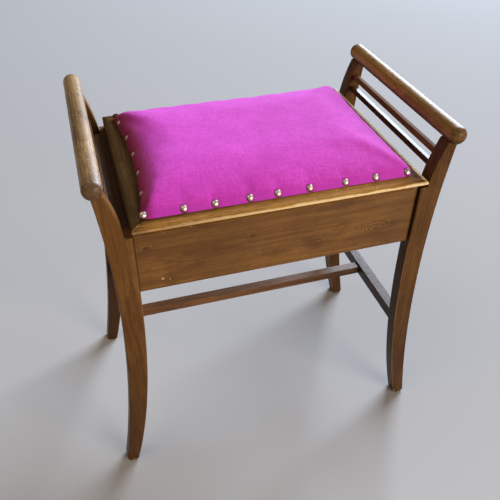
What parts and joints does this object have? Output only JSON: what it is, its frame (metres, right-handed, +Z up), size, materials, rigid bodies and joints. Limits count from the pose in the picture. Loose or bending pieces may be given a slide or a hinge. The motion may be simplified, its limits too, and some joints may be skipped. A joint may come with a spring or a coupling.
{
  "type": "piano bench",
  "caption": "Wooden piano bench with sabre legs, open arms, stretchers and a hinged, nailed and padded lid over a music box.",
  "frame": {"origin": "on the floor under the middle of the bench", "axes": "+Z up, +Y towards the back, where the lid is hinged, and +X to the right of someone who faces +Y"},
  "size_m": [0.542, 0.3455, 0.5807],
  "materials": {
    "walnut": "satin polish, straight grain with some figure, worn at the arrises",
    "dark_wood": "satin polish, darker",
    "rail_wood": "polish worn thin by hands, mottled",
    "moulding": "satin polish, rubbed light on the nosing",
    "lining": "thinly stained",
    "pine": "bare, planed",
    "cloth": "fine plain weave",
    "stuffing": "loose felt",
    "brass": "dull polish, tarnished"
  },
  "bodies": {
    "frame": {"leg_front_left": "walnut", "leg_back_left": "walnut", "leg_front_right": "walnut", "leg_back_right": "walnut", "arm_rail_left": "rail_wood", "arm_rail_right": "rail_wood", "arm_rod_upper_left": "dark_wood", "arm_rod_lower_left": "dark_wood", "arm_rod_upper_right": "dark_wood", "arm_rod_lower_right": "dark_wood", "side_stretcher_left": "walnut", "side_stretcher_right": "walnut", "middle_stretcher": "walnut", "apron_front": "walnut", "apron_back": "walnut", "apron_left": "walnut", "apron_right": "walnut", "box_side_left": "lining", "box_side_right": "lining", "bottom_bearer_front": "pine", "bottom_bearer_back": "pine", "bottom_bearer_left": "pine", "bottom_bearer_right": "pine", "bottom_panel": "pine", "hinge_leaf_box_left": "brass", "hinge_leaf_box_right": "brass", "hinge_pin_left": "brass", "hinge_pin_right": "brass", "hinge_screw_box_left_1": "brass", "hinge_screw_box_left_2": "brass", "hinge_screw_box_left_3": "brass", "hinge_screw_box_right_1": "brass", "hinge_screw_box_right_2": "brass", "hinge_screw_box_right_3": "brass"},
    "lid": {"lid_rail_front": "moulding", "lid_rail_left": "moulding", "lid_rail_right": "moulding", "lid_rail_back": "moulding", "lid_panel": "pine", "seat_board": "pine", "seat_stuffing": "stuffing", "seat_cover": "cloth", "hinge_leaf_lid_left": "brass", "hinge_leaf_lid_right": "brass", "hinge_screw_lid_left_1": "brass", "hinge_screw_lid_left_2": "brass", "hinge_screw_lid_left_3": "brass", "hinge_screw_lid_right_1": "brass", "hinge_screw_lid_right_2": "brass", "hinge_screw_lid_right_3": "brass"}
  },
  "joints": [
    {"name": "lid_hinge", "type": "hinge", "parent": "frame", "child": "lid", "pos_m": [0, 0.1582, 0.48715], "axis": [-1, 0, 0], "range_deg": [0, 95]}
  ]
}
